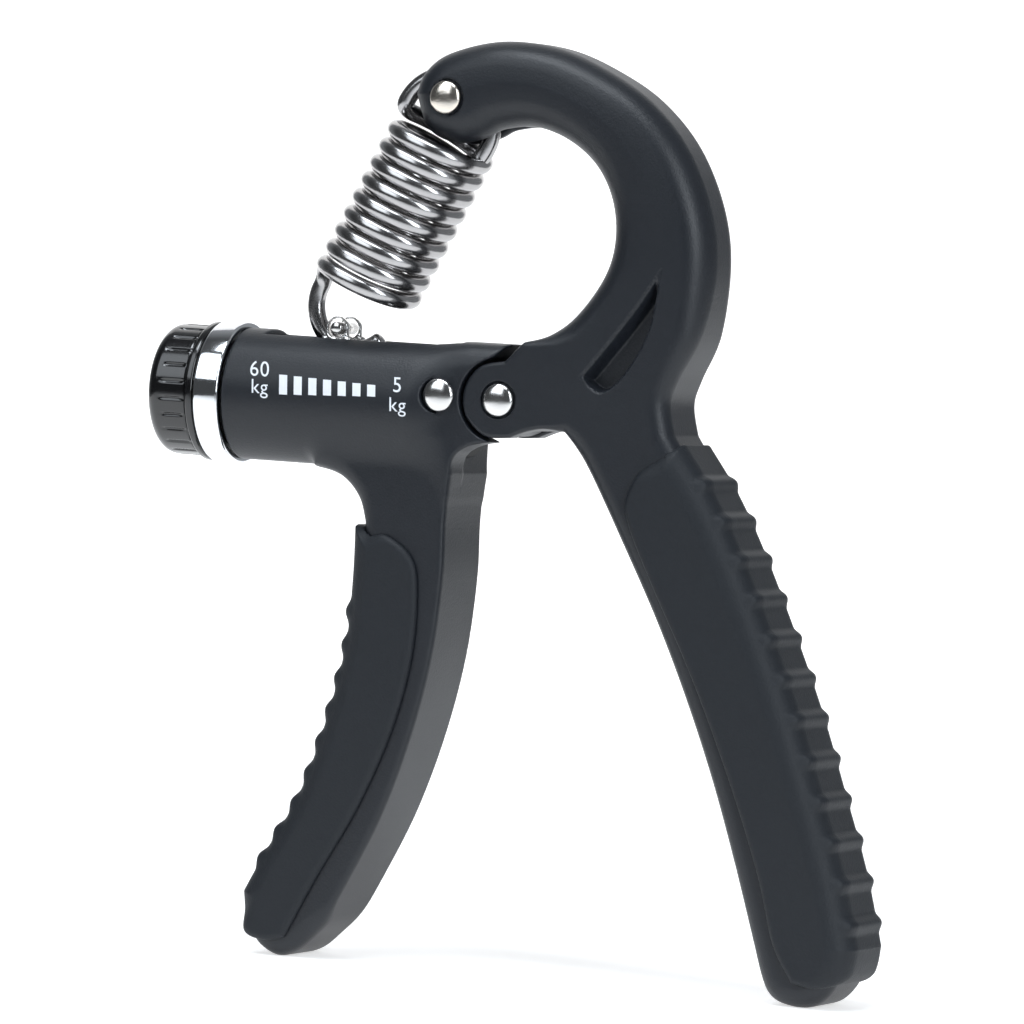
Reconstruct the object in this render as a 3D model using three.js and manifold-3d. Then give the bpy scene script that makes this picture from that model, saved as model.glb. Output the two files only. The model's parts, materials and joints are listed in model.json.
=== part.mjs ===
// Adjustable hand grip strengthener.
// Millimetres, +Z up, X across the two handles, Y through the thickness (front is -Y).
// Everything is drawn around the hinge axis (x = 0, z = 0), and the finished group is
// moved at the end, so that it stands on z = 0 with the origin under its middle.

import * as THREE from "three";
import { mergeVertices } from "three/addons/utils/BufferGeometryUtils.js";
import Module from "manifold-3d";

const wasm = await Module();
wasm.setup();

// ---------------------------------------------------------------- driving dimensions

const GAP = 0.3; // clearance between touching pieces
const HALF = 8; // half thickness of arm, ears and handles
const EDGE = 2.6; // rounding of the moulded edges
const FOOT = -93; // lowest point of both handles
const CURVE_STEPS = 2; // straight pieces between two points of an outline

const TUBE = { z: -1.8, radius: 11, bore: 8.2, left: -48.2, neck: -18, right: -8 };
const SLOT = { left: -43.5, right: -8.6, halfWidth: 4.2 };
const EAR = { pocket: 6.9, inner: 4.1 };
const TONGUE = { half: 3.5, radius: 5.9 };
const LIP_REAR = -2.6; // the lip under the ear is only in front of this
const COLLAR = { left: -52.9, right: -48.5, radius: 11.4, hole: 8.7 };
const KNOB = { left: -62.1, right: -53.2, radius: 10.5, rim: 11.2, rimWidth: 1.3, ribs: 24 };

const SCREW = { radius: 3, left: -57.3, right: -13 };
const BEARING = { left: -16.6, right: -7.7 };
const SLIDER = { x: -31.5, half: 4.2, radius: 7.6, cheek: 3.8, top: 11.4, groove: 1.8, floor: 3.2 };
const HOOK_PIN = { x: -31.5, z: 9.9, radius: 1.5 };

const RIVET = { shank: 1.6, head: 2.7, dome: 1.2, sink: 0.5 };
const ANCHOR = { x: -9.9, z: 0.2, seat: 9.6 };
const SPRING_PIN = { x: -12.4, z: 48.4, radius: 1.5 };
const FORK = { half: 1.9 };

const WIRE = 1.4; // radius of the spring wire
const COIL = { radius: 7.1, pitch: 3.1, turns: 9 };
const LOOP = 7.1; // radius of the spring's end loops

const BLACK = { color: 0x2c2f36, roughness: 0.5, metalness: 0 };
const RUBBER = { color: 0x23262c, roughness: 0.8, metalness: 0 };
const GLOSS = { color: 0x0c0c0e, roughness: 0.15, metalness: 0 };
const STEEL = { color: 0xb9b6b0, roughness: 0.2, metalness: 1 };
const CHROME = { color: 0xdfe2e6, roughness: 0.08, metalness: 1 };

// ---------------------------------------------------------------- helpers

// Turns a closed geometry into a solid that can be joined and cut.
function solid(geometry) {
  const bare = geometry.index ? geometry.clone() : geometry;
  bare.deleteAttribute("normal");
  bare.deleteAttribute("uv");
  const merged = mergeVertices(bare, 1e-4);
  const vertProperties = Float32Array.from(merged.attributes.position.array);
  const triVerts = Uint32Array.from(merged.index.array);
  return new wasm.Manifold(new wasm.Mesh({ numProp: 3, vertProperties, triVerts }));
}

// Turns a solid back into a geometry.
function shapeOf(body) {
  const mesh = body.getMesh();
  const geometry = new THREE.BufferGeometry();
  geometry.setAttribute("position", new THREE.BufferAttribute(mesh.vertProperties, 3));
  geometry.setIndex(new THREE.BufferAttribute(mesh.triVerts, 1));
  geometry.computeVertexNormals();
  return geometry;
}

const model = new THREE.Group();

// Adds one named sub-part to the model.
function add(name, body, look) {
  const mesh = new THREE.Mesh(shapeOf(body), new THREE.MeshStandardMaterial(look));
  mesh.name = name;
  model.add(mesh);
}

function join(bodies) {
  return bodies.reduce((sum, body) => sum.add(body));
}

// The points of a closed outline, counter-clockwise and without the repeated last one.
function pointsOf(outline) {
  const points = outline.getPoints(CURVE_STEPS);
  if (points[0].distanceTo(points.at(-1)) < 1e-6) points.pop();
  if (THREE.ShapeUtils.isClockWise(points)) points.reverse();
  return points;
}

// The same outline moved outwards all round by a small distance.
function grown(points, by) {
  const count = points.length;
  return points.map((point, index) => {
    const before = point.clone().sub(points[(index + count - 1) % count]).normalize();
    const after = points[(index + 1) % count].clone().sub(point).normalize();
    const mitre = new THREE.Vector2(before.y + after.y, -before.x - after.x);
    return point.clone().addScaledVector(mitre, by / (1 + before.dot(after)));
  });
}

// How sharply an outline turns at one of its points, in radians.
function turnAt(points, index) {
  const count = points.length;
  const before = points[index].clone().sub(points[(index + count - 1) % count]);
  const after = points[(index + 1) % count].clone().sub(points[index]);
  return Math.abs(Math.atan2(before.cross(after), before.dot(after)));
}

// Leaves out the points of tight corners, so that the outline can be rounded
// over by an edge of this size without folding over itself.
function loosened(points, edge) {
  const inner = grown(points, -edge);
  const folded = points.findIndex((point, index) => {
    const next = (index + 1) % points.length;
    const along = points[next].clone().sub(point);
    return inner[next].clone().sub(inner[index]).dot(along) < 0.05 * along.lengthSq();
  });
  if (folded < 0) return points;
  const next = (folded + 1) % points.length;
  const dropped = turnAt(points, folded) < turnAt(points, next) ? folded : next;
  return loosened(points.filter((_, index) => index !== dropped), edge);
}

// An outline drawn in x and z, given the thickness from y = from to y = to.
// With grow, it is larger by that much all round.
function slab(outline, from, to, edge = 0, grow = 0) {
  const points = grown(loosened(pointsOf(outline), edge), grow);
  const geometry = new THREE.ExtrudeGeometry(new THREE.Shape(points), {
    depth: to - from - 2 * edge,
    bevelEnabled: edge > 0,
    bevelThickness: edge,
    bevelSize: edge,
    bevelOffset: -edge,
    bevelSegments: 2,
  });
  geometry.translate(0, 0, edge - to);
  geometry.rotateX(Math.PI / 2);
  return solid(geometry);
}

// A cylinder along Y through the point (x, z).
function pinY(radius, x, z, from, to, sides = 24) {
  const geometry = new THREE.CylinderGeometry(radius, radius, to - from, sides);
  geometry.translate(x, (from + to) / 2, z);
  return solid(geometry);
}

// A cylinder along X on the axis of the tube.
function rodX(radius, from, to, sides = 32) {
  const geometry = new THREE.CylinderGeometry(radius, radius, to - from, sides);
  geometry.rotateZ(Math.PI / 2);
  geometry.translate((from + to) / 2, 0, TUBE.z);
  return solid(geometry);
}

// A body of revolution about the axis of the tube, from [x, radius] pairs.
function turnedX(profile, sides = 48) {
  const points = profile.map(([x, radius]) => new THREE.Vector2(radius, x));
  const geometry = new THREE.LatheGeometry(points, sides);
  geometry.rotateZ(-Math.PI / 2);
  geometry.translate(0, 0, TUBE.z);
  return solid(geometry);
}

function block(x0, x1, y0, y1, z0, z1) {
  const geometry = new THREE.BoxGeometry(x1 - x0, y1 - y0, z1 - z0);
  geometry.translate((x0 + x1) / 2, (y0 + y1) / 2, (z0 + z1) / 2);
  return solid(geometry);
}

function vectors(points) {
  return points.map(([x, z]) => new THREE.Vector2(x, z));
}

// A closed outline that runs smoothly through each group of points,
// with a corner where one group ends and the next begins.
function outlineOf(...runs) {
  const outline = new THREE.Shape();
  outline.moveTo(...runs[0][0]);
  for (const run of runs) {
    const points = vectors(run);
    if (points.length > 2) outline.splineThru(points.slice(1));
    else outline.lineTo(points[1].x, points[1].y);
  }
  return outline;
}

// ---------------------------------------------------------------- palm side

// The handle of the palm frame as it is under the grip.
const PALM_INNER = [[11.5, -4.5], [13.4, -7], [16.5, -11.7], [22.2, -21.6], [29, -33.9], [34.9, -46.1], [40.1, -58.4], [44.6, -70.8], [48.8, -83.5]];
const PALM_OUTER = [[63.4, -82.7], [58.9, -65.5], [52, -46.8], [43.6, -28.3], [37.5, -16.1], [33.6, -9.3], [29.9, -3.8]];
const PALM_SKIN = [[66.6, -83.4], [63.4, -71.7], [58.9, -59.3], [54.2, -46.8], [48.7, -34.4], [42.7, -22], [37.4, -12.7], [31.9, -5.2]];

function palmOutline() {
  return outlineOf(
    // hook arm, over the top and down its outer side
    [[-19, 48.8], [-17.7, 52.3], [-13.7, 55.4], [-5, 57.6], [4.6, 57], [13.3, 53.9], [21.2, 49.3], [27.9, 42.3], [32.5, 33], [34.2, 23.6], [33.1, 12.6], [30, 5.1], [28.9, 1], [29.9, -3.8]],
    [...PALM_OUTER].reverse(),
    [[63.4, -82.7], [63.8, -88.3], [60.6, -92.6], [56, FOOT], [51.7, -91.2], [48.8, -83.5]],
    [...PALM_INNER].reverse(),
    [[11.5, -4.5], [8, -4.2], [4.8, -4.9], [2.2, -6]],
    // round ear of the hinge
    [[2.2, -6], [-2.2, -6], [-5.5, -3.2], [-6.4, 0], [-5.5, 3.2], [-3.2, 5.5], [0.7, 6.36]],
    [[0.7, 6.36], [3.7, 9.6]],
    // inside of the hook
    [[3.7, 9.6], [7.8, 11], [12.2, 15], [16.1, 21.2], [17.4, 27.1], [16.5, 33.3], [13.4, 38.8], [8.2, 42.8], [2, 44.8], [-3.9, 44.2], [-7.2, 42.6], [-12, 41.6], [-16.6, 43.4], [-19, 48.8]],
  );
}

// A teardrop recess in the cheek of the arm, with its point at the top.
function leafOutline() {
  return outlineOf(
    [[27, 22.6], [25.6, 12.8], [21.6, 5.2], [17.6, 2.2], [14, 4.6]],
    [[14, 4.6], [17.5, 9], [22.6, 15.8], [27, 22.6]],
  );
}

function palmFrame() {
  const leaf = 1.6;
  let frame = slab(palmOutline(), -HALF, HALF, EDGE);
  const cuts = [
    slab(leafOutline(), -HALF - 1, -HALF + leaf),
    slab(leafOutline(), HALF - leaf, HALF + 1),
    // gap between the ears for the tongue of the finger housing
    pinY(TONGUE.radius + 0.8, 0, 0, -EAR.inner, EAR.inner),
    block(-8, 1.2, -EAR.inner, EAR.inner, -8, 8),
    // fork for the spring's top loop
    block(-21, -1, -FORK.half, FORK.half, 40, 60),
    pinY(RIVET.shank + GAP, 0, 0, -HALF - 1, HALF + 1),
    pinY(SPRING_PIN.radius + GAP, SPRING_PIN.x, SPRING_PIN.z, -HALF - 1, HALF + 1),
    ...rivetSeats(0, 0, HALF),
    ...rivetSeats(SPRING_PIN.x, SPRING_PIN.z, HALF),
  ];
  for (const cut of cuts) frame = frame.subtract(cut);
  return frame;
}

function palmGrip() {
  const outer = outlineOf(
    [[31.9, -5.2], [27.8, -6.6], [23.7, -13.5], [24.1, -18.4], [28.7, -27.7], [35.1, -39.3], [40.7, -50.6], [46, -62.6], [50.2, -73.5], [53.2, -83.5], [56.8, -89.4]],
    [[56.8, -89.4], [61.5, -89.9], [65.6, -87.9], [66.6, -83.4]],
    PALM_SKIN,
  );
  const ribs = [];
  const side = new THREE.SplineCurve(vectors(PALM_SKIN));
  for (let rib = 0; rib < 12; rib++) {
    const at = side.getPointAt(0.045 + rib * 0.079);
    ribs.push(pinY(1.3, at.x - 0.5, at.y, -5, 5, 12));
  }
  const core = slab(palmOutline(), -HALF - GAP, HALF + GAP, EDGE, GAP);
  return join([slab(outer, -HALF - 1.4, HALF + 1.4, 3.2), ...ribs]).subtract(core);
}

// ---------------------------------------------------------------- finger side

const FINGER_INNER = [[-7.8, -12.5], [-8.3, -20.1], [-8.2, -29.6], [-9.4, -42.8], [-12.4, -56.4], [-17, -69.9], [-23.4, -83.1]];
const FINGER_OUTER = [[-37.6, -82.1], [-34.6, -75.4], [-29.5, -65.5], [-25.4, -52.6], [-22.9, -39.8], [-22.7, -28.1], [-23.4, -21.2]];
const FINGER_SKIN = [[-41.1, -83.2], [-37.8, -76.8], [-32.1, -66.4], [-28.1, -54.2], [-25.4, -41.8], [-24.8, -30.7], [-24.9, -21.8]];

// The finger handle, whose square top end is buried in the tube.
function fingerOutline() {
  return outlineOf(
    FINGER_INNER,
    [[-23.4, -83.1], [-26.5, -88.7], [-31.1, -92.8], [-35, FOOT], [-39.2, -89.9], [-37.6, -82.1]],
    FINGER_OUTER,
    [[-23.4, -21.2], [-24.7, -17.5], [-27.9, -14.4], [-33, TUBE.z - TUBE.radius]],
    [[-33, TUBE.z - TUBE.radius], [-33, -4]],
    [[-33, -4], [-10, -4]],
    [[-10, -4], FINGER_INNER[0]],
  );
}

// The shoulder that carries the tube over to the hinge, with the lip under the ear.
function shoulderOutline() {
  const top = TUBE.z + TUBE.radius;
  return outlineOf(
    [[-22, top], [0.4, top]],
    [[0.4, top], [-3, 5.4]],
    [[-3, 5.4], [-3, -5.6]],
    [[-3, -5.6], [-1, -6.9]],
    [[-1, -6.9], [-5, -7.9], [-8, -10.4], [-9.6, -15]],
    [[-9.6, -15], [-22, -15]],
    [[-22, -15], [-22, top]],
  );
}

// The shoulder's section across the thickness, rounded along the top.
function shoulderSection() {
  const top = TUBE.z + TUBE.radius;
  const round = 4.8;
  const section = new THREE.Shape();
  section.moveTo(-HALF, -16);
  section.lineTo(HALF, -16);
  section.absarc(HALF - round, top - round, round, 0, Math.PI / 2);
  section.absarc(round - HALF, top - round, round, Math.PI / 2, Math.PI);
  return section;
}

function shoulder() {
  const bar = new THREE.ExtrudeGeometry(shoulderSection(), { depth: 24, bevelEnabled: false });
  bar.rotateX(Math.PI / 2);
  bar.rotateZ(Math.PI / 2);
  bar.translate(-23, 0, 0);
  const behindLip = block(-9.2, 3, LIP_REAR, HALF + 1, -16, -5.6);
  return slab(shoulderOutline(), -HALF, HALF).intersect(solid(bar)).subtract(behindLip);
}

function fingerHousing() {
  const tube = turnedX([
    [TUBE.left, 0], [TUBE.left, TUBE.radius], [TUBE.neck, TUBE.radius],
    [-13, 10.4], [TUBE.right, HALF], [-5.6, HALF - 2], [-5.6, 0],
  ]);
  let body = tube.add(shoulder()).add(slab(fingerOutline(), -HALF, HALF, EDGE));
  body = body.subtract(pinY(EAR.pocket, 0, 0, -14, 14));
  body = body.add(slab(tongueOutline(), -TONGUE.half, TONGUE.half));
  const cuts = [
    rodX(TUBE.bore, TUBE.left - 1, BEARING.right + GAP),
    block(SLOT.left, SLOT.right, -SLOT.halfWidth, SLOT.halfWidth, 0, 14),
    pinY(RIVET.shank + GAP, 0, 0, -14, 14),
    pinY(RIVET.shank + GAP, ANCHOR.x, ANCHOR.z, -14, 14),
    ...rivetSeats(ANCHOR.x, ANCHOR.z, ANCHOR.seat + RIVET.sink),
  ];
  for (const cut of cuts) body = body.subtract(cut);
  return body;
}

function tongueOutline() {
  const outline = new THREE.Shape();
  outline.moveTo(-7, TONGUE.radius);
  outline.lineTo(0, TONGUE.radius);
  outline.absarc(0, 0, TONGUE.radius, Math.PI / 2, -Math.PI / 2, true);
  outline.lineTo(-7, -TONGUE.radius);
  return outline;
}

function fingerGrip() {
  const outer = outlineOf(
    [[-24.9, -21.8], [-18.7, -22.8], [-13.2, -26.7], [-11.9, -33.9], [-12.5, -44.2], [-15.4, -55.9], [-20.5, -68.2], [-26.8, -79.6], [-32.2, -90.2]],
    [[-32.2, -90.2], [-35.6, -90.9], [-39.7, -89.5], [-41.1, -83.2]],
    FINGER_SKIN,
  );
  const scallops = [];
  const side = new THREE.SplineCurve(vectors(FINGER_SKIN));
  for (let scallop = 0; scallop < 9; scallop++) {
    const at = side.getPointAt(0.1 + scallop * 0.085);
    scallops.push(pinY(1.4, at.x + 0.8, at.y, -4.6, 4.6, 12));
  }
  const core = slab(fingerOutline(), -HALF - GAP, HALF + GAP, EDGE, GAP);
  return join([slab(outer, -HALF - 1.2, HALF + 1.2, 3.2), ...scallops]).subtract(core);
}

// ---------------------------------------------------------------- rivets and washers

// Shallow round seats for a rivet's two heads, in faces at y = -face and y = +face.
function rivetSeats(x, z, face) {
  const radius = RIVET.head + GAP;
  const floor = face - RIVET.sink;
  return [pinY(radius, x, z, -14, -floor), pinY(radius, x, z, floor, 14)];
}

// A low dome with its flat side at y, rising towards -Y where side is -1 and +Y where it is 1.
function dome(x, z, y, side) {
  const points = [new THREE.Vector2(0, 0)];
  for (let step = 0; step <= 4; step++) {
    const angle = (step / 4) * (Math.PI / 2);
    points.push(new THREE.Vector2(RIVET.head * Math.cos(angle), RIVET.dome * Math.sin(angle)));
  }
  const geometry = new THREE.LatheGeometry(points, 24);
  geometry.rotateX(side < 0 ? Math.PI : 0);
  geometry.translate(x, y, z);
  return solid(geometry);
}

function addRivet(name, x, z, radius, face) {
  const seat = face - RIVET.sink + GAP;
  const shank = pinY(radius, x, z, -seat - 0.2, seat - GAP);
  add(name, shank.add(dome(x, z, -seat, -1)), STEEL);
  add(`${name}_cap`, dome(x, z, seat, 1), STEEL);
}

function addWashers() {
  const inner = TONGUE.half + GAP / 2;
  const outer = EAR.inner - GAP / 2;
  const names = [["hinge_washer_front", -outer, -inner], ["hinge_washer_rear", inner, outer]];
  for (const [name, from, to] of names) {
    const ring = pinY(4.6, 0, 0, from, to).subtract(pinY(RIVET.shank + GAP, 0, 0, from - 1, to + 1));
    add(name, ring, STEEL);
  }
}

// ---------------------------------------------------------------- adjuster

function knob() {
  const rimLeft = KNOB.right - KNOB.rimWidth;
  const body = turnedX([
    [KNOB.left, 0], [KNOB.left, KNOB.radius - 1.6], [KNOB.left + 0.9, KNOB.radius - 0.5],
    [KNOB.left + 1.8, KNOB.radius], [rimLeft, KNOB.radius], [rimLeft, KNOB.rim],
    [KNOB.right, KNOB.rim], [KNOB.right, 0],
  ], 72);
  const notch = rodX(0.7, KNOB.left - 1, rimLeft - 1, 8);
  const notches = [];
  for (let rib = 0; rib < KNOB.ribs; rib++) {
    const angle = (rib / KNOB.ribs) * 2 * Math.PI;
    const reach = KNOB.radius + 0.25;
    notches.push(notch.translate([0, reach * Math.cos(angle), reach * Math.sin(angle)]));
  }
  const hole = rodX(SCREW.radius + GAP, SCREW.left - GAP, KNOB.right + 1);
  return notches.reduce((rest, cut) => rest.subtract(cut), body).subtract(hole);
}

function collarRing() {
  const { left, right, radius, hole } = COLLAR;
  return turnedX([
    [left, hole], [left, radius - 0.5], [left + 0.5, radius], [right - 0.5, radius],
    [right, radius - 0.5], [right, hole], [left, hole],
  ], 64);
}

function screwBush() {
  const flange = rodX(COLLAR.hole - GAP, COLLAR.left + 0.6, TUBE.left - GAP);
  const plug = rodX(TUBE.bore - GAP, TUBE.left - 0.6, TUBE.left + 4.5);
  return flange.add(plug).subtract(rodX(SCREW.radius + GAP, COLLAR.left - 1, TUBE.left + 6));
}

function innerBearing() {
  return rodX(TUBE.bore - GAP, BEARING.left, BEARING.right)
    .subtract(rodX(SCREW.radius + GAP, BEARING.left - 1, SCREW.right + GAP))
    .subtract(pinY(RIVET.shank + GAP, ANCHOR.x, ANCHOR.z, -14, 14));
}

function sliderNut() {
  const { x, half, radius, cheek, top, groove, floor } = SLIDER;
  const saddle = block(x - half, x + half, -cheek, cheek, TUBE.z, top);
  return rodX(radius, x - half, x + half)
    .add(saddle)
    .subtract(rodX(SCREW.radius + GAP, x - half - 1, x + half + 1))
    .subtract(block(x - half - 1, x + half + 1, -groove, groove, floor, top + 1))
    .subtract(pinY(HOOK_PIN.radius + GAP, HOOK_PIN.x, HOOK_PIN.z, -cheek - 1, cheek + 1));
}

// ---------------------------------------------------------------- spring

class WirePath extends THREE.Curve {
  constructor(pointAt) {
    super();
    this.pointAt = pointAt;
  }

  getPoint(t, target = new THREE.Vector3()) {
    return target.copy(this.pointAt(t));
  }
}

// A length of wire with a round section along a path.
function wire(pointAt, steps) {
  const section = new THREE.Shape();
  section.absarc(0, 0, WIRE, 0, 2 * Math.PI);
  const geometry = new THREE.ExtrudeGeometry(section, {
    steps,
    curveSegments: 4,
    extrudePath: new WirePath(pointAt),
  });
  return solid(geometry);
}

function addSpring() {
  const top = new THREE.Vector3(SPRING_PIN.x, 0, SPRING_PIN.z);
  const bottom = new THREE.Vector3(HOOK_PIN.x, 0, HOOK_PIN.z);
  const up = top.clone().sub(bottom).normalize();
  const across = new THREE.Vector3(up.z, 0, -up.x);
  const behind = new THREE.Vector3(0, 1, 0);
  const pull = LOOP - WIRE - HOOK_PIN.radius - GAP;
  const topLoop = top.clone().addScaledVector(up, -pull);
  const bottomLoop = bottom.clone().addScaledVector(up, pull);
  const middle = topLoop.clone().add(bottomLoop).multiplyScalar(0.5);

  const at = (centre, a, b, c) => centre.clone()
    .addScaledVector(across, a).addScaledVector(behind, b).addScaledVector(up, c);
  const coil = (from, to) => (t) => {
    const turn = from + (to - from) * t;
    const angle = turn * 2 * Math.PI + Math.PI;
    const height = (turn - COIL.turns / 2) * COIL.pitch;
    return at(middle, COIL.radius * Math.cos(angle), COIL.radius * Math.sin(angle), height);
  };
  const loop = (centre, from, to) => (t) => {
    const angle = from + (to - from) * t;
    return at(centre, LOOP * Math.cos(angle), 0, LOOP * Math.sin(angle));
  };
  const half = COIL.turns / 2;
  add("spring_upper_coils", wire(coil(half + 0.02, COIL.turns), 63), STEEL);
  add("spring_lower_coils", wire(coil(0, half - 0.02), 63), STEEL);
  add("spring_top_loop", wire(loop(topLoop, -0.4, Math.PI + 0.2), 24), STEEL);
  add("spring_bottom_hook", wire(loop(bottomLoop, Math.PI - 0.2, 2 * Math.PI - 0.15), 24), STEEL);
}

// ---------------------------------------------------------------- assembly

add("palm_frame", palmFrame(), BLACK);
add("palm_grip", palmGrip(), RUBBER);
addRivet("hinge_rivet", 0, 0, RIVET.shank, HALF);
addRivet("spring_pin", SPRING_PIN.x, SPRING_PIN.z, SPRING_PIN.radius, HALF);
addWashers();
add("finger_housing", fingerHousing(), BLACK);
add("finger_grip", fingerGrip(), RUBBER);
addRivet("anchor_rivet", ANCHOR.x, ANCHOR.z, RIVET.shank, ANCHOR.seat + RIVET.sink);
add("inner_bearing", innerBearing(), BLACK);
add("screw_bush", screwBush(), BLACK);
add("collar_ring", collarRing(), CHROME);
add("knob", knob(), GLOSS);
add("adjusting_screw", rodX(SCREW.radius, SCREW.left, SCREW.right, 32), STEEL);
add("slider_nut", sliderNut(), CHROME);
add("slider_pin", pinY(HOOK_PIN.radius, HOOK_PIN.x, HOOK_PIN.z, -3.8, 3.8, 24), STEEL);
addSpring();

const bounds = new THREE.Box3().setFromObject(model);
const middle = bounds.getCenter(new THREE.Vector3());
model.position.set(-middle.x, -middle.y, -bounds.min.z);

export default model;
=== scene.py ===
"""Looks for the adjustable hand grip strengthener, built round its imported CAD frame.

The moulded pieces are drawn as distance fields in millimetres round the hinge axis (x across the
handles, y through the thickness with the front at -y, z up) and then turned into fine meshes.
"""

import json
import math

import bmesh
import bpy
import numpy as np
from mathutils import Matrix, Vector


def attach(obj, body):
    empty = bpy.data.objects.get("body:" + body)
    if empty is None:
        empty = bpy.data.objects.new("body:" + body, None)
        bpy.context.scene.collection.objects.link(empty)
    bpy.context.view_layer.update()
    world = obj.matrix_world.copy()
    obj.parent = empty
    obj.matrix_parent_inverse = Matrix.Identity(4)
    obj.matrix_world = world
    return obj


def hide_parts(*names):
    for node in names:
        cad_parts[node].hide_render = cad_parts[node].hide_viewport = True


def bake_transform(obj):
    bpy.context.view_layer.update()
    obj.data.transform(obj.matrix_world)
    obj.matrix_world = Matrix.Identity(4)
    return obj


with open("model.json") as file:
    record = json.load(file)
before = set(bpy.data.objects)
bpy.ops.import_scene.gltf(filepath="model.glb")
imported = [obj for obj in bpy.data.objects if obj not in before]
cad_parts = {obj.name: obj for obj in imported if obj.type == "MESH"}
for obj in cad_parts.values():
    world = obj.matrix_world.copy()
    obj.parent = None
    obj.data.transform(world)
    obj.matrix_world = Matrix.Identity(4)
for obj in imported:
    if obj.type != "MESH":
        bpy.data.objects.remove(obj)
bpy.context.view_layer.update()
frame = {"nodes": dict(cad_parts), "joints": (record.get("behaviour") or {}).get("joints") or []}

# ---------------------------------------------------------------- driving dimensions, millimetres

MM = 0.001
HINGE = Vector(next(j["pos_m"] for j in frame["joints"] if j["name"] == "handle_squeeze"))
STEP = 0.34  # cell of the meshes of the moulded pieces
PLAN_STEP = 0.25  # cell of the flat grids that hold an outline's distances

HALF = 8.0  # half thickness of the mouldings
GRIP_GAP = 0.08
TUBE = {"z": -1.8, "radius": 11.0, "bore": 8.2, "left": -48.2}
SLOT = {"left": -43.5, "right": -8.6, "half": 4.2}
EAR = {"pocket": 6.9, "inner": 4.1}
TONGUE = {"half": 3.5, "radius": 5.9}
COLLAR = {"left": -52.9, "right": -48.5, "radius": 11.7, "hole": 8.7}
KNOB = {"left": -62.1, "right": -53.2, "radius": 10.8, "rim": 11.5, "rim_width": 1.3, "ribs": 24}
SCREW_HOLE = 3.3
SLIDER = {"x": -31.5, "half": 4.2, "radius": 7.6, "cheek": 3.3, "lug": 1.95, "groove": 1.8, "floor": 3.2}
RIVET = {"shank": 1.6, "head": 2.7, "dome": 1.2, "sink": 0.5, "gap": 0.3}
HINGE_RIVET = {"x": 0.0, "z": 0.0, "seat": 8.0}
ANCHOR = {"x": -9.9, "z": 0.2, "seat": 9.5}
SPRING_PIN = {"x": -12.4, "z": 48.4, "seat": 8.0}
HOOK_PIN = {"x": -31.5, "z": 9.9, "radius": 1.5}

HOUSING_TOP = 9.2
LIP_REAR = -2.6  # the lip under the ear is only in front of this
SHOULDER_EDGE = 4.8  # rounding of the flat-sided end of the housing
LEG_EDGE = 3.2

ARM_CROWN = 1.3  # how much thinner each face of the hook is at its edges than in its middle
LEAF_DEPTH = 2.9
FORK_HALF = 1.9  # half the width of the slot that takes the spring's top loop
PALM_GRIP_PROUD = 1.4  # how far each grip stands out from the moulding's faces
FINGER_GRIP_PROUD = 1.2
RIB_HEIGHT = 0.75
PALM_RIBS = {"first": 0.045, "spacing": 0.079, "count": 12, "width": 1.9}
FINGER_RIBS = {"first": 0.1, "spacing": 0.085, "count": 9, "width": 2.5}

WIRE = 1.45
COIL = {"radius": 7.7, "pitch": 3.16, "turns": 9, "raise": 0.7}
TOP_LOOP = {"radius": 8.2, "shift": -0.7}
HOOK_LOOP = {"radius": 7.1, "shift": 0.0}
PIN = 1.5  # radius of the pins that the spring hangs on

PALM_INNER = [
    (11.5, -4.5), (13.4, -7), (16.5, -11.7), (22.2, -21.6), (29, -33.9), (34.9, -46.1),
    (40.1, -58.4), (44.6, -70.8), (48.8, -83.5),
]
PALM_OUTER = [
    (63.4, -82.7), (58.9, -65.5), (52, -46.8), (43.6, -28.3), (37.5, -16.1), (33.6, -9.3),
    (29.9, -3.8),
]
PALM_TOP = [
    (-19, 48.8), (-17.7, 52.3), (-13.7, 55.4), (-5, 57.6), (4.6, 57), (13.3, 53.9), (21.2, 49.3),
    (27.9, 42.3), (32.5, 33), (34.2, 23.6), (33.1, 12.6), (30, 5.1), (28.9, 1), (29.9, -3.8),
]
PALM_FOOT = [
    (63.4, -82.7), (63.8, -88.3), (60.6, -92.6), (55.9, -93.3), (51.7, -91.2), (48.8, -83.5),
]
PALM_THROAT = [(11.5, -4.5), (8, -4.2), (4.8, -4.9), (2.2, -6)]
PALM_EAR = [(2.2, -6), (-2.2, -6), (-5.5, -3.2), (-6.4, 0), (-5.5, 3.2), (-3.2, 5.5), (0.7, 6.36)]
PALM_HOOK = [
    (3.7, 9.6), (7.8, 11), (12.2, 15), (16.1, 21.2), (17.4, 27.1), (16.5, 33.3), (13.4, 38.8),
    (8.2, 42.8), (2, 44.8), (-3.9, 44.2), (-7.2, 42.6), (-12, 41.6), (-16.6, 43.4), (-19, 48.8),
]
LEAF_OUTER = [(27, 22.6), (25.6, 12.8), (21.6, 5.2), (17.6, 2.2), (14, 4.6)]
LEAF_INNER = [(14, 4.6), (17.5, 9), (22.6, 15.8), (27, 22.6)]
PALM_GRIP_FRONT = [
    (31.9, -5.2), (27.8, -6.6), (23.7, -13.5), (24.1, -18.4), (28.7, -27.7), (35.1, -39.3),
    (40.7, -50.6), (46, -62.6), (50.2, -73.5), (53.2, -83.5), (56.8, -89.4),
]
PALM_GRIP_END = [(56.8, -89.4), (61.5, -89.9), (65.6, -87.9), (66.6, -83.4)]
PALM_SKIN = [
    (66.6, -83.4), (63.4, -71.7), (58.9, -59.3), (54.2, -46.8), (48.7, -34.4), (42.7, -22),
    (37.4, -12.7), (31.9, -5.2),
]

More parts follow.
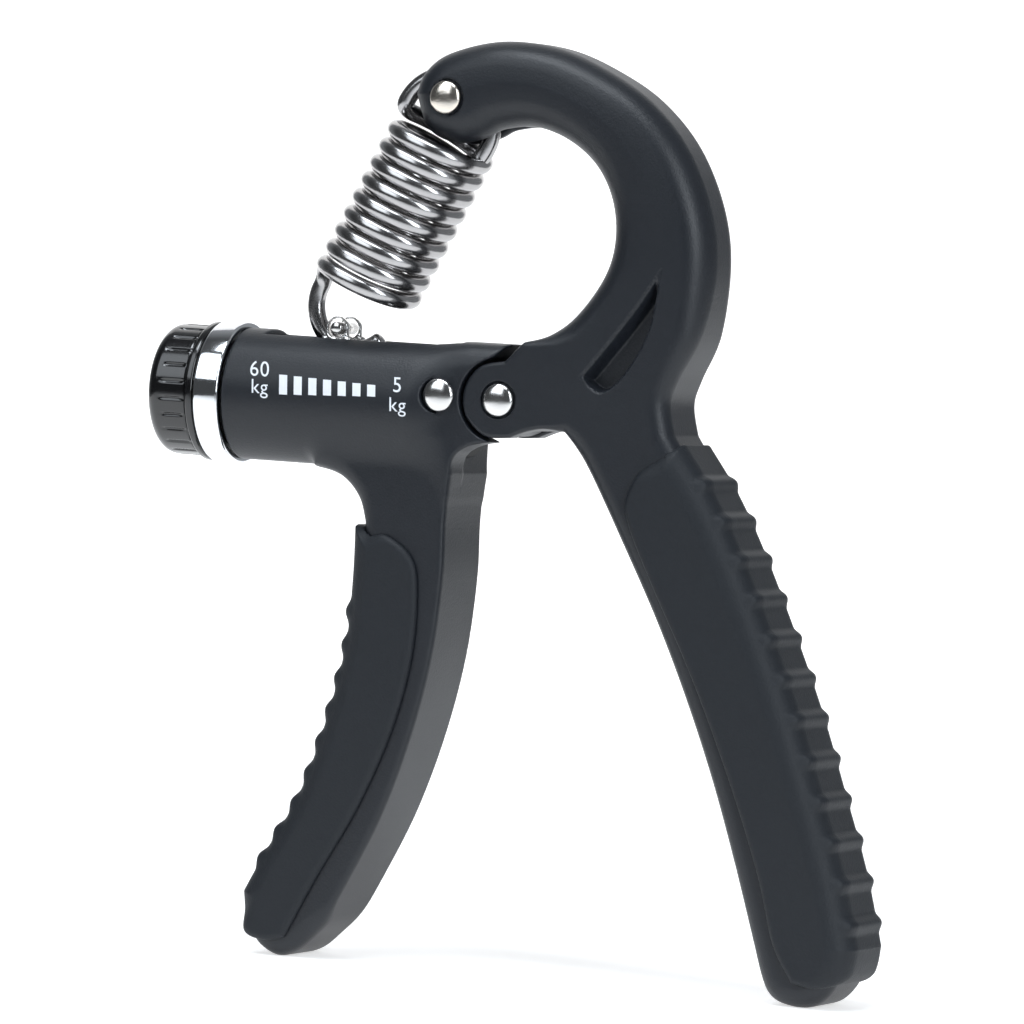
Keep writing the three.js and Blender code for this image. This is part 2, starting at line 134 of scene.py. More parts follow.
FINGER_INNER = [
    (-7.8, -12.5), (-8.3, -20.1), (-8.2, -29.6), (-9.4, -42.8), (-12.4, -56.4), (-17, -69.9),
    (-23.4, -83.1),
]
FINGER_TIP = [
    (-23.4, -83.1), (-26.5, -88.7), (-31.1, -92.8), (-35.2, -93.5), (-39.2, -89.9),
    (-37.6, -82.1),
]
FINGER_OUTER = [
    (-37.6, -82.1), (-34.6, -75.4), (-29.5, -65.5), (-25.4, -52.6), (-22.9, -39.8),
    (-22.7, -28.1), (-23.4, -21.2),
]
FINGER_ARMPIT = [(-23.4, -21.2), (-24.7, -17.5), (-27.9, -14.4), (-33, -12.8)]
FINGER_LIP = [(-1, -6.9), (-5, -7.9), (-8, -10.4), (-9.6, -15)]
FINGER_GRIP_FRONT = [
    (-24.9, -21.8), (-18.7, -22.8), (-13.2, -26.7), (-11.9, -33.9), (-12.5, -44.2),
    (-15.4, -55.9), (-20.5, -68.2), (-26.8, -79.6), (-32.2, -90.2),
]
FINGER_GRIP_END = [(-32.2, -90.2), (-35.6, -90.9), (-39.7, -89.5), (-41.1, -83.2)]
FINGER_SKIN = [
    (-41.1, -83.2), (-37.8, -76.8), (-32.1, -66.4), (-28.1, -54.2), (-25.4, -41.8),
    (-24.8, -30.7), (-24.9, -21.8),
]


# ---------------------------------------------------------------- outlines and their distances


def smooth_run(points, steps=8):
    """Points along a smooth line through the given points, without the last one."""
    points = [np.array(p, float) for p in points]
    if len(points) == 2:
        return [points[0]]
    line = []
    for index in range(len(points) - 1):
        before = points[max(index - 1, 0)]
        start, end = points[index], points[index + 1]
        after = points[min(index + 2, len(points) - 1)]
        leave, arrive = (end - before) / 2, (after - start) / 2
        for step in range(steps):
            t = step / steps
            line.append(
                (2 * start - 2 * end + leave + arrive) * t**3
                + (3 * end - 3 * start - 2 * leave - arrive) * t**2
                + leave * t
                + start
            )
    return line


def outline(*runs):
    """A closed outline that is smooth within each run of points."""
    return np.array([p for run in runs for p in smooth_run(run)])


def open_line(points):
    return np.array(smooth_run(points) + [np.array(points[-1], float)])


def sampled(grid, low, x, z):
    """The grid's value at any (x, z), by smooth interpolation."""
    u = np.clip((x - low[0]) / PLAN_STEP, 1, grid.shape[0] - 3.001)
    v = np.clip((z - low[1]) / PLAN_STEP, 1, grid.shape[1] - 3.001)
    i, k = np.floor(u).astype(int), np.floor(v).astype(int)

    def weights(t):
        return (
            ((2 - t) * t - 1) * t / 2,
            ((3 * t - 5) * t * t + 2) / 2,
            ((4 - 3 * t) * t + 1) * t / 2,
            (t - 1) * t * t / 2,
        )

    across, along = weights(u - i), weights(v - k)
    total = 0
    for a in range(4):
        for b in range(4):
            total = total + across[a] * along[b] * grid[i - 1 + a, k - 1 + b]
    return total


def flat_grid(points, margin):
    low = points.min(0) - margin
    count = np.ceil((points.max(0) + margin - low) / PLAN_STEP).astype(int) + 1
    x = low[0] + PLAN_STEP * np.arange(count[0])[:, None]
    z = low[1] + PLAN_STEP * np.arange(count[1])[None, :]
    return low, x, z


def distance_plan(points, margin=9.0):
    """A function of (x, z): distance from a closed outline, negative inside."""
    low, x, z = flat_grid(points, margin)
    nearest = np.full((x.size, z.size), 1e9)
    inside = np.zeros((x.size, z.size), bool)
    for (x0, z0), (x1, z1) in zip(points, np.roll(points, -1, 0)):
        dx, dz = x1 - x0, z1 - z0
        share = np.clip(((x - x0) * dx + (z - z0) * dz) / (dx * dx + dz * dz + 1e-12), 0, 1)
        np.minimum(nearest, (x - x0 - share * dx) ** 2 + (z - z0 - share * dz) ** 2, out=nearest)
        if z0 != z1:
            level = (z0 > z) != (z1 > z)
            inside ^= level & (x < dx * (z - z0) / dz + x0)
    grid = np.sqrt(nearest) * np.where(inside, -1, 1)
    return lambda px, pz: sampled(grid, low, px, pz)


def along_plan(points, margin=14.0):
    """Two functions of (x, z): distance from an open line, and how far along it the nearest point is."""
    low, x, z = flat_grid(points, margin)
    nearest = np.full((x.size, z.size), 1e9)
    along = np.zeros_like(nearest)
    walked = 0.0
    for (x0, z0), (x1, z1) in zip(points[:-1], points[1:]):
        length = math.hypot(x1 - x0, z1 - z0)
        share = np.clip(((x - x0) * (x1 - x0) + (z - z0) * (z1 - z0)) / length**2, 0, 1)
        gap = (x - x0 - share * (x1 - x0)) ** 2 + (z - z0 - share * (z1 - z0)) ** 2
        closer = gap < nearest
        nearest = np.where(closer, gap, nearest)
        along = np.where(closer, walked + share * length, along)
        walked += length
    distance = np.sqrt(nearest)
    return (
        lambda px, pz: sampled(distance, low, px, pz),
        lambda px, pz: sampled(along, low, px, pz),
        walked,
    )


# ---------------------------------------------------------------- distance field parts


def smooth_max(a, b, blend):
    share = np.maximum(blend - np.abs(a - b), 0) / blend
    return np.maximum(a, b) + share * share * blend / 4


def smooth_min(a, b, blend):
    return -smooth_max(-a, -b, blend)


def cut(body, tool, blend=0.5):
    return smooth_max(body, -tool, blend)


def rounded(plan, y, half, edge):
    """A plate of the planned outline, with its edges rounded."""
    a = plan + edge
    b = np.abs(y) - (half - edge)
    return np.minimum(np.maximum(a, b), 0) + np.hypot(np.maximum(a, 0), np.maximum(b, 0)) - edge


def box_plan(x, z, x0, x1, z0, z1):
    return np.maximum(np.maximum(x0 - x, x - x1), np.maximum(z0 - z, z - z1))


def eased(t):
    t = np.clip(t, 0, 1)
    return t * t * (3 - 2 * t)


def rivet_cuts(x, y, z, place):
    """The shank hole and two round seats of a rivet."""
    reach = np.hypot(x - place["x"], z - place["z"])
    hole = reach - RIVET["shank"] - RIVET["gap"]
    seat = np.maximum(
        reach - RIVET["head"] - RIVET["gap"],
        place["seat"] - RIVET["sink"] - np.abs(y),
    )
    return np.minimum(hole, seat)


# ---------------------------------------------------------------- palm side fields

palm_plan = distance_plan(
    outline(
        PALM_TOP,
        PALM_OUTER[::-1],
        PALM_FOOT,
        PALM_INNER[::-1],
        PALM_THROAT,
        PALM_EAR,
        [PALM_EAR[-1], PALM_HOOK[0]],
        PALM_HOOK,
    )
)
leaf_plan = distance_plan(outline(LEAF_OUTER, LEAF_INNER))
leaf_left_gap = along_plan(open_line(LEAF_INNER))[0]
leaf_right_gap = along_plan(open_line(LEAF_OUTER))[0]
palm_grip_plan = distance_plan(outline(PALM_GRIP_FRONT, PALM_GRIP_END, PALM_SKIN))
palm_skin_gap, palm_skin_walk, palm_skin_length = along_plan(open_line(PALM_SKIN))


def palm_body(x, y, z):
    """The bare frame: flat and sharp at the ear, and rounder over the hook."""
    arm = eased((z - 2) / 22)
    away = eased((np.hypot(x, z) - 8.5) / 9)
    edge = 0.7 + away * (2.5 + 1.0 * arm)
    plan = palm_plan(x, z) - 0.4 * arm * away
    crown = np.clip(1 + plan / 8, 0, 1) ** 2
    return rounded(plan, y, HALF - ARM_CROWN * arm * away * crown, edge)


def palm_frame_field(x, y, z):
    body = palm_body(x, y, z)
    left_wall = eased((leaf_left_gap(x, z) - 0.05) / 1.5)
    right_wall = eased(leaf_right_gap(x, z) / 0.8)
    depth = LEAF_DEPTH * left_wall * right_wall
    leaf = np.maximum(leaf_plan(x, z), (HALF - depth) - np.abs(y))
    body = cut(body, leaf, 0.35)
    ears = np.minimum(np.hypot(x, z) - 6.7, box_plan(x, z, -8, 1.2, -8, 8))
    body = cut(body, np.maximum(ears, np.abs(y) - EAR["inner"]), 0.4)
    fork = np.maximum(box_plan(x, z, -24, -1, 38, 62), np.abs(y) - FORK_HALF)
    body = cut(body, fork, 0.6)
    body = cut(body, rivet_cuts(x, y, z, HINGE_RIVET), 0.3)
    return cut(body, rivet_cuts(x, y, z, SPRING_PIN), 0.3)


def ribs_along(walk, length, ribs):
    """Evenly spaced rounded ribs, from 0 between them to 1 at their tops.

    The first rib's place and the spacing are shares of the length that is walked.
    """
    first, spacing = ribs["first"] * length, ribs["spacing"] * length
    index = np.clip(np.round((walk - first) / spacing), 0, ribs["count"] - 1)
    off = np.abs(walk - first - index * spacing) / ribs["width"]
    return 0.5 + 0.5 * np.cos(math.pi * np.clip(off, 0, 1))


def palm_grip_field(x, y, z):
    plan = palm_grip_plan(x, z)
    skin = palm_skin_gap(x, z)
    edge = 1.2 + 3.6 * eased(1 - (skin - 3) / 7)
    outer = rounded(plan, y, HALF + PALM_GRIP_PROUD, edge)
    ribs = ribs_along(palm_skin_walk(x, z), palm_skin_length, PALM_RIBS)
    reach = eased((5.2 - skin) / 2.2) * eased((8.4 - np.abs(y)) / 1.6)
    outer = outer - RIB_HEIGHT * ribs * reach
    return cut(outer, palm_body(x, y, z) - GRIP_GAP, 0.25)


# ---------------------------------------------------------------- finger side fields


def finger_outline(inner, start_x):
    return outline(
        inner,
        [(inner[-1])] + FINGER_TIP[1:],
        FINGER_OUTER,
        FINGER_ARMPIT,
        [(-33, -12.8), (-33, -4)],
        [(-33, -4), (start_x, -4)],
        [(start_x, -4), inner[0]],
    )


finger_plan = distance_plan(finger_outline(FINGER_INNER, -10))
finger_wide_plan = distance_plan(finger_outline([(x + 5, z) for x, z in FINGER_INNER], -5))


def housing_outline(*under_ear):
    """The tube and shoulder together, ending in the given runs under the hinge."""
    return outline(
        [(TUBE["left"], -12.8), (TUBE["left"], HOUSING_TOP)],
        [(TUBE["left"], HOUSING_TOP), (0.4, HOUSING_TOP)],
        [(0.4, HOUSING_TOP), (-3, 5.4)],
        [(-3, 5.4), (-3, -5.6)],
        *under_ear,
        [(-9.6, -16), (-24, -16)],
        [(-24, -16), (-24, -12.8)],
        [(-24, -12.8), (TUBE["left"], -12.8)],
    )


housing_plan = distance_plan(housing_outline([(-3, -5.6), (-8.2, -5.6)], [(-8.2, -5.6), (-8.2, -16)]))
lip_plan = distance_plan(housing_outline([(-3, -5.6), FINGER_LIP[0]], FINGER_LIP))
finger_grip_plan = distance_plan(outline(FINGER_GRIP_FRONT, FINGER_GRIP_END, FINGER_SKIN))
finger_skin_gap, finger_skin_walk, finger_skin_length = along_plan(open_line(FINGER_SKIN))


def finger_leg(x, y, z):
    """The handle: rounded at the back, with a sharper front edge along its flat inner face."""
    wide = rounded(finger_wide_plan(x, z), y, HALF, LEG_EDGE)
    return smooth_max(wide, finger_plan(x, z), 1.2)


def housing_outside(x, y, z):
    """A round tube that turns flat-sided towards the hinge, joined to the handle."""
    tube = np.hypot(y, z - TUBE["z"]) - TUBE["radius"]
    flat_sided = rounded(z - HOUSING_TOP, y, HALF, SHOULDER_EDGE)
    share = eased((x + 15.5) / 10)
    section = (1 - share) * tube + share * flat_sided
    plan = np.where(y < LIP_REAR, lip_plan(x, z), housing_plan(x, z))
    body = smooth_max(section, plan, 0.6)
    return smooth_min(body, finger_leg(x, y, z), 2.4)


def finger_housing_field(x, y, z):
    body = housing_outside(x, y, z)
    hinge = np.hypot(x, z)
    body = cut(body, hinge - EAR["pocket"], 0.3)
    tongue_plan = np.minimum(hinge, np.where(x < 0, np.abs(z), 1e3)) - TONGUE["radius"]
    tongue = np.maximum(np.maximum(tongue_plan, -7.5 - x), np.abs(y) - TONGUE["half"])
    body = np.minimum(body, tongue)
    reach = TUBE["bore"] - 0.45 * eased((x + 16) / 6)
    bore = np.maximum(np.hypot(y, z - TUBE["z"]) - reach, x + 7.9)
    body = cut(body, bore, 0.4)
    slot = np.maximum(
        box_plan(x, z, SLOT["left"], SLOT["right"], 0, 30),
        np.abs(y) - SLOT["half"],
    )
    body = cut(body, slot, 0.6)
    body = cut(body, rivet_cuts(x, y, z, ANCHOR), 0.3)
    return cut(body, hinge - RIVET["shank"] - RIVET["gap"], 0.2)


def finger_grip_field(x, y, z):
    plan = finger_grip_plan(x, z)
    skin = finger_skin_gap(x, z)
    edge = 1.2 + 3.2 * eased(1 - (skin - 2.5) / 5)
    outer = rounded(plan, y, HALF + FINGER_GRIP_PROUD, edge)
    ribs = ribs_along(finger_skin_walk(x, z), finger_skin_length, FINGER_RIBS)
    reach = eased((4.0 - skin) / 3.0) * eased((8.4 - np.abs(y)) / 2.0)
    outer = outer - RIB_HEIGHT * ribs * reach
    return cut(outer, finger_leg(x, y, z) - GRIP_GAP, 0.25)


def slider_field(x, y, z):
    """The nut that carries the spring's hook along the slot."""
    off = np.abs(x - SLIDER["x"]) - SLIDER["half"]
    drum = np.hypot(y, z - TUBE["z"]) - SLIDER["radius"]
    body = smooth_max(drum, off, 0.8)
    lug = np.hypot(x - HOOK_PIN["x"], z - HOOK_PIN["z"]) - SLIDER["lug"]
    neck = box_plan(x, z, HOOK_PIN["x"] - 2.6, HOOK_PIN["x"] + 2.6, TUBE["z"], 8.6)
    saddle = smooth_max(smooth_min(lug, neck, 1.2), np.abs(y) - SLIDER["cheek"], 0.6)
    body = smooth_min(body, saddle, 0.6)
    body = cut(body, np.hypot(y, z - TUBE["z"]) - SCREW_HOLE, 0.3)
    body = cut(body, np.maximum(np.abs(y) - SLIDER["groove"], SLIDER["floor"] - z), 0.5)
    pin = np.hypot(x - HOOK_PIN["x"], z - HOOK_PIN["z"]) - HOOK_PIN["radius"] - 0.1
    return cut(body, np.maximum(pin, 5.0 - z), 0.3)


# ---------------------------------------------------------------- fields and paths into meshes


def lattice_surface(field, low, high, step):
    """Vertices and four-sided faces of a field's zero level."""
    low = np.array(low, float)
    axes = [low[n] + step * np.arange(int((high[n] - low[n]) / step) + 2) for n in range(3)]
    values = field(axes[0][:, None, None], axes[1][None, :, None], axes[2][None, None, :])
    shape = values.shape
    inside = values < 0
    sums = np.zeros((3, values.size))
    count = np.zeros(values.size)
    faces = []
    for axis in range(3):
        lower = [slice(None)] * 3
        upper = [slice(None)] * 3
        lower[axis], upper[axis] = slice(0, -1), slice(1, None)
        start = np.argwhere(inside[tuple(lower)] != inside[tuple(upper)])
        end = start.copy()
        end[:, axis] += 1
        first, last = values[tuple(start.T)], values[tuple(end.T)]
        point = start.astype(float)
        point[:, axis] += first / (first - last)
        ring = []
        for du, dv in ((1, 1), (0, 1), (0, 0), (1, 0)):
            cell = start.copy()
            cell[:, (axis + 1) % 3] -= du
            cell[:, (axis + 2) % 3] -= dv
            ring.append(np.ravel_multi_index(tuple(cell.T), shape))
        for cell in ring:
            count += np.bincount(cell, minlength=values.size)
            for n in range(3):
                sums[n] += np.bincount(cell, point[:, n], minlength=values.size)
        ring = np.stack(ring, 1)
        faces.append(np.where((first < 0)[:, None], ring, ring[:, ::-1]))
    used = np.flatnonzero(count)
    order = np.zeros(values.size, int)
    order[used] = np.arange(used.size)
    vertices = low + step * (sums[:, used] / count[used]).T
    return vertices, order[np.concatenate(faces)]


def slope(field, points, reach=0.06):
    """The field's gradient at each point."""
    columns = []
    for axis in range(3):
        off = np.zeros(3)
        off[axis] = reach
        ahead, behind = (points + off).T, (points - off).T
        columns.append((field(*ahead) - field(*behind)) / (2 * reach))
    return np.stack(columns, 1)


def in_row_frame(points):
    return np.array(HINGE) + MM * np.asarray(points)


def new_object(name, vertices, faces, normals=None):
    """A smooth-shaded mesh object from points in millimetres round the hinge."""
    mesh = bpy.data.meshes.new(name)
    mesh.from_pydata(in_row_frame(vertices).tolist(), [], np.asarray(faces).tolist())
    mesh.polygons.foreach_set("use_smooth", np.ones(len(mesh.polygons), bool))
    if normals is not None:
        mesh.normals_split_custom_set_from_vertices(normals.tolist())
    mesh.update()
    piece = bpy.data.objects.new(name, mesh)
    bpy.context.scene.collection.objects.link(piece)
    return piece


def moulded(name, field, low, high, step=STEP):
    vertices, faces = lattice_surface(field, low, high, step)
    for _ in range(3):
        gradient = slope(field, vertices)
        move = field(*vertices.T) / np.maximum((gradient**2).sum(1), 0.2)
        vertices = vertices - np.clip(move, -step / 3, step / 3)[:, None] * gradient
    normals = slope(field, vertices)
    normals /= np.linalg.norm(normals, axis=1)[:, None] + 1e-12
    return new_object(name, vertices, faces, normals)


def ring_faces(rings, sides):
    """The faces between rings of points that follow one another."""
    faces = []
    for ring in range(rings - 1):
        low, high = ring * sides, (ring + 1) * sides
        for n in range(sides):
            ahead = (n + 1) % sides
            faces.append((low + n, low + ahead, high + ahead, high + n))
    return faces


def turned(name, profile, place, axis, sides=128, radius_at=None):
    """A turned piece: profile is (along, radius) points, and axis the direction of its length."""
    axis = Vector(axis)
    side = Vector((0, 0, 1)) if abs(axis.z) < 0.5 else Vector((1, 0, 0))
    other = axis.cross(side)
    points = []
    for along, radius in profile:
        for turn in range(sides):
            angle = 2 * math.pi * turn / sides
            reach = radius_at(along, radius, angle) if radius_at else radius
            outward = side * math.cos(angle) + other * math.sin(angle)
            points.append(Vector(place) + axis * along + outward * reach)
    piece = new_object(name, [tuple(p) for p in points], ring_faces(len(profile), sides))
    tidy_mesh(piece)
    return piece


def tidy_mesh(piece):
    """Joins doubled points, drops flat faces and turns every face outwards."""
    work = bmesh.new()
    work.from_mesh(piece.data)
    bmesh.ops.remove_doubles(work, verts=work.verts, dist=1e-7)
    bmesh.ops.dissolve_degenerate(work, edges=work.edges, dist=1e-8)
    bmesh.ops.recalc_face_normals(work, faces=work.faces)
    work.to_mesh(piece.data)
    work.free()
    piece.data.polygons.foreach_set("use_smooth", np.ones(len(piece.data.polygons), bool))
    piece.data.update()


def wire(name, path, sides=28):
    """A round wire along a path of points, with rounded ends."""
    path = np.asarray(path, float)
    ahead = np.gradient(path, axis=0)
    ahead /= np.linalg.norm(ahead, axis=1)[:, None]
    side = np.cross(ahead[0], (0.3, 1.0, 0.2))
    points, rows = [], []
    for n, (centre, forward) in enumerate(zip(path, ahead)):
        side = side - forward * side.dot(forward)
        side /= np.linalg.norm(side)
        rows.append((centre, side.copy(), np.cross(forward, side), WIRE))

    def cap(row, forward, angle):
        centre, u, v, radius = row
        return centre + forward * radius * 0.5 * math.sin(angle), u, v, radius * math.cos(angle)

    cap_angles = [math.radians(a) for a in (80, 60, 40, 20)]
    first = [cap(rows[0], -ahead[0], a) for a in cap_angles]
    last = [cap(rows[-1], ahead[-1], a) for a in cap_angles[::-1]]
    rows = first + rows + last
    angles = 2 * math.pi * np.arange(sides) / sides
    for centre, u, v, radius in rows:
        for angle in angles:
            points.append(centre + radius * (u * math.cos(angle) + v * math.sin(angle)))
    faces = ring_faces(len(rows), sides)
    faces.append(tuple(range(sides))[::-1])
    last_row = (len(rows) - 1) * sides
    faces.append(tuple(range(last_row, last_row + sides)))
    piece = new_object(name, [tuple(p) for p in points], faces_as_lists(faces))
    tidy_mesh(piece)
    return piece


def faces_as_lists(faces):
    """Faces with different numbers of corners, in a form that numpy doesn't try to square up."""
    table = np.empty(len(faces), object)
    table[:] = [list(f) for f in faces]
    return table


# ---------------------------------------------------------------- materials


def shader(name, slot_name, color, roughness, metallic=0.0, coat=0.0, specular=0.5):
    material = bpy.data.materials.new(name)
    material.use_nodes = True
    principled = material.node_tree.nodes["Principled BSDF"]
    principled.inputs["Base Color"].default_value = (*color, 1)
    principled.inputs["Roughness"].default_value = roughness
    principled.inputs["Metallic"].default_value = metallic
    principled.inputs["Coat Weight"].default_value = coat
    principled.inputs["Coat Roughness"].default_value = 0.12
    principled.inputs["Specular IOR Level"].default_value = specular
    material["kind"] = name
    material["slot"] = slot_name
    return material


def add_grain(material, scale, depth, rough_low, rough_high):
    """A fine uneven surface: a small bump and a slowly changing roughness."""
    nodes, links = material.node_tree.nodes, material.node_tree.links
    principled = nodes["Principled BSDF"]
    place = nodes.new("ShaderNodeTexCoord")
    fine = nodes.new("ShaderNodeTexNoise")
    fine.inputs["Scale"].default_value = scale
    fine.inputs["Detail"].default_value = 3
    links.new(place.outputs["Object"], fine.inputs["Vector"])
    bump = nodes.new("ShaderNodeBump")
    bump.inputs["Strength"].default_value = depth
    bump.inputs["Distance"].default_value = 0.00012
    links.new(fine.outputs["Fac"], bump.inputs["Height"])
    links.new(bump.outputs["Normal"], principled.inputs["Normal"])
    broad = nodes.new("ShaderNodeTexNoise")
    broad.inputs["Scale"].default_value = 60
    broad.inputs["Detail"].default_value = 4
    links.new(place.outputs["Object"], broad.inputs["Vector"])
    spread = nodes.new("ShaderNodeMapRange")
    spread.inputs["To Min"].default_value = rough_low
    spread.inputs["To Max"].default_value = rough_high
    links.new(broad.outputs["Fac"], spread.inputs["Value"])
    links.new(spread.outputs["Result"], principled.inputs["Roughness"])
    return material


def make_materials():
    moulding = shader("moulding", "moulding", (0.009, 0.0112, 0.0155), 0.42, specular=0.43)
    add_grain(moulding, 2600, 0.35, 0.38, 0.46)
    grip = shader("grip", "grip", (0.0085, 0.011, 0.015), 0.6, specular=0.36)
    add_grain(grip, 2200, 0.5, 0.52, 0.62)
    gloss = shader("gloss_black", "gloss_black", (0.004, 0.004, 0.0045), 0.16, coat=0.6)
    add_grain(gloss, 700, 0.05, 0.12, 0.2)
    inner = shader("inner_plastic", "inner_plastic", (0.012, 0.012, 0.013), 0.5)
    add_grain(inner, 1500, 0.3, 0.45, 0.55)
    chrome = shader("chrome", "chrome", (0.86, 0.87, 0.89), 0.09, metallic=1)
    add_grain(chrome, 900, 0.03, 0.06, 0.12)
    steel = shader("steel", "steel", (0.72, 0.71, 0.7), 0.16, metallic=1)
    add_grain(steel, 1400, 0.08, 0.12, 0.22)
    warm_steel = shader("warm_steel", "steel", (0.78, 0.72, 0.64), 0.2, metallic=1)
    add_grain(warm_steel, 1100, 0.3, 0.14, 0.3)
    spring_steel = shader("spring_steel", "spring_steel", (0.46, 0.45, 0.45), 0.2, metallic=1)
    add_grain(spring_steel, 1200, 0.12, 0.16, 0.26)
    ink = shader("ink", "moulding", (0.78, 0.81, 0.86), 0.55)
    add_grain(ink, 1800, 0.2, 0.5, 0.6)
    made = (moulding, grip, gloss, inner, chrome, steel, warm_steel, spring_steel, ink)
    return {material["kind"]: material for material in made}


materials = make_materials()


def dress(piece, material_name, body=None, replaced=()):
    """Gives a piece its material and slot, and where named, its body, and hides the nodes it stands for.
    """
    material = materials[material_name]
    piece.data.materials.clear()
    piece.data.materials.append(material)
    if body:
        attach(piece, body)
    if replaced:
        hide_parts(*replaced)
    return piece


# ---------------------------------------------------------------- palm side and finger side


def rivet_profile(length):
    """From the back end of a shank to the top of the dome at its front."""
    head = RIVET["head"]
    points = [(-length, 0), (-length, RIVET["shank"]), (0, RIVET["shank"])]
    points += [(0, head - 0.15), (0.08, head - 0.03)]
    for step in range(1, 15):
        angle = step / 14 * math.pi / 2
        points.append((0.12 + (RIVET["dome"] - 0.12) * math.sin(angle), head * math.cos(angle)))
    return points


def add_rivet(name, place, body, material):
    seat = place["seat"] - RIVET["sink"] + RIVET["gap"]
    shank, front_seat = rivet_profile(2 * seat - 0.4), (place["x"], -seat, place["z"])
    front = turned(f"{name}_look", shank, front_seat, (0, -1, 0), 96)
    dress(front, material, body, [name])
    rear_seat = (place["x"], seat, place["z"])
    rear = turned(f"{name}_cap_look", rivet_profile(0.05), rear_seat, (0, 1, 0), 96)
    dress(rear, material, body, [f"{name}_cap"])


def add_mouldings():
    palm = moulded("palm_frame_look", palm_frame_field, (-21, -9, -95), (65, 9, 60))
    dress(palm, "moulding", "palm_side", ["palm_frame"])
    grip = moulded("palm_grip_look", palm_grip_field, (22, -11, -92), (68, 11, -3))
    dress(grip, "grip", "palm_side", ["palm_grip"])
    housing = moulded("finger_housing_look", finger_housing_field, (-50, -12, -95), (7, 12, 11))
    dress(housing, "moulding", "finger_side", ["finger_housing"])
    grip = moulded("finger_grip_look", finger_grip_field, (-43, -10.5, -93), (-11, 10.5, -20))
    dress(grip, "grip", "finger_side", ["finger_grip"])


def add_rivets():
    add_rivet("hinge_rivet", HINGE_RIVET, "palm_side", "steel")
    add_rivet("spring_pin", SPRING_PIN, "palm_side", "warm_steel")
    add_rivet("anchor_rivet", ANCHOR, "finger_side", "steel")


# ---------------------------------------------------------------- adjuster and slider


def rounded_band(left, right, radius, edge):
    """Profile points over a band, with both its edges rounded."""
    points = []
    for step in range(9):
        angle = step / 8 * math.pi / 2
        points.append((left + edge - edge * math.cos(angle), radius - edge + edge * math.sin(angle)))
    for step in range(9):
        angle = step / 8 * math.pi / 2
        points.append((right - edge + edge * math.sin(angle), radius - edge + edge * math.cos(angle)))
    return points


def add_collar():
    left, right, radius, hole = COLLAR["left"], COLLAR["right"], COLLAR["radius"], COLLAR["hole"]
    profile = [(left, hole), *rounded_band(left, right, radius, 0.4), (right, hole), (left, hole)]
    ring = turned("collar_ring_look", profile, (0, 0, TUBE["z"]), (1, 0, 0), 192)
    dress(ring, "chrome", "finger_side", ["collar_ring"])


def add_knob():
    left, right, radius, rim = KNOB["left"], KNOB["right"], KNOB["radius"], KNOB["rim"]
    rim_left = right - KNOB["rim_width"]
    profile = [(left + 0.5, 0), (left + 0.5, 6.6), (left + 0.35, 7.0), (left, 7.5)]
    for step in range(13):
        angle = step / 12 * math.pi / 2
        profile.append((left + 2.2 - 2.2 * math.cos(angle), radius - 2.2 + 2.2 * math.sin(angle)))
    for step in range(1, 13):
        profile.append((left + 2.2 + (rim_left - 0.35 - left - 2.2) * step / 12, radius))
    profile += [(rim_left - 0.25, radius - 0.3), (rim_left - 0.05, radius - 0.3), (rim_left, radius - 0.1)]
    profile += rounded_band(rim_left, right, rim, 0.4)
    profile += [(right, SCREW_HOLE), (right - 4, SCREW_HOLE), (right - 4, 0)]

    def ribbed(along, reach, angle):
        """Narrow shallow grooves along the body of the knob, short of both its ends."""
        share = (angle * KNOB["ribs"] / (2 * math.pi)) % 1
        groove = eased((0.15 - abs(share - 0.5)) / 0.12)
        window = eased((along - left - 2.8) / 0.5) * eased((rim_left - 0.6 - along) / 0.4)
        return reach - 0.28 * float(groove * window)

    knob = turned("knob_look", profile, (0, 0, TUBE["z"]), (1, 0, 0), KNOB["ribs"] * 20, ribbed)
    dress(knob, "gloss_black", "adjuster", ["knob"])


def add_slider():
    half = SLIDER["half"]
    low = (SLIDER["x"] - half - 1, -8.5, -10.5)
    high = (SLIDER["x"] + half + 1, 8.5, 12.5)
    nut = moulded("slider_nut_look", slider_field, low, high, 0.3)
    dress(nut, "steel", "slider", ["slider_nut"])
    profile = [(-3.5, 0), (-3.5, 0.8), (-3.3, 1.0), (3.3, 1.0), (3.5, 0.8), (3.5, 0)]
    pin = turned("slider_pin_look", profile, (HOOK_PIN["x"], 0, HOOK_PIN["z"]), (0, 1, 0), 48)
    dress(pin, "steel", "slider", ["slider_pin"])


def dress_cad_nodes():
    """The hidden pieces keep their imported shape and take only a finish."""
    finishes = {
        "screw_bush": "inner_plastic",
        "inner_bearing": "inner_plastic",
        "adjusting_screw": "steel",
        "hinge_washer_front": "steel",
        "hinge_washer_rear": "steel",
    }
    for node, material in finishes.items():
        dress(frame["nodes"][node], material)


# ---------------------------------------------------------------- spring


def spring_axes():
    top = np.array((SPRING_PIN["x"], 0, SPRING_PIN["z"]), float)
    bottom = np.array((HOOK_PIN["x"], 0, HOOK_PIN["z"]), float)
    length = np.linalg.norm(top - bottom)
    up = (top - bottom) / length
    across = np.array((up[2], 0, -up[0]))
    return (top + bottom) / 2, across, np.array((0, 1.0, 0)), up, length


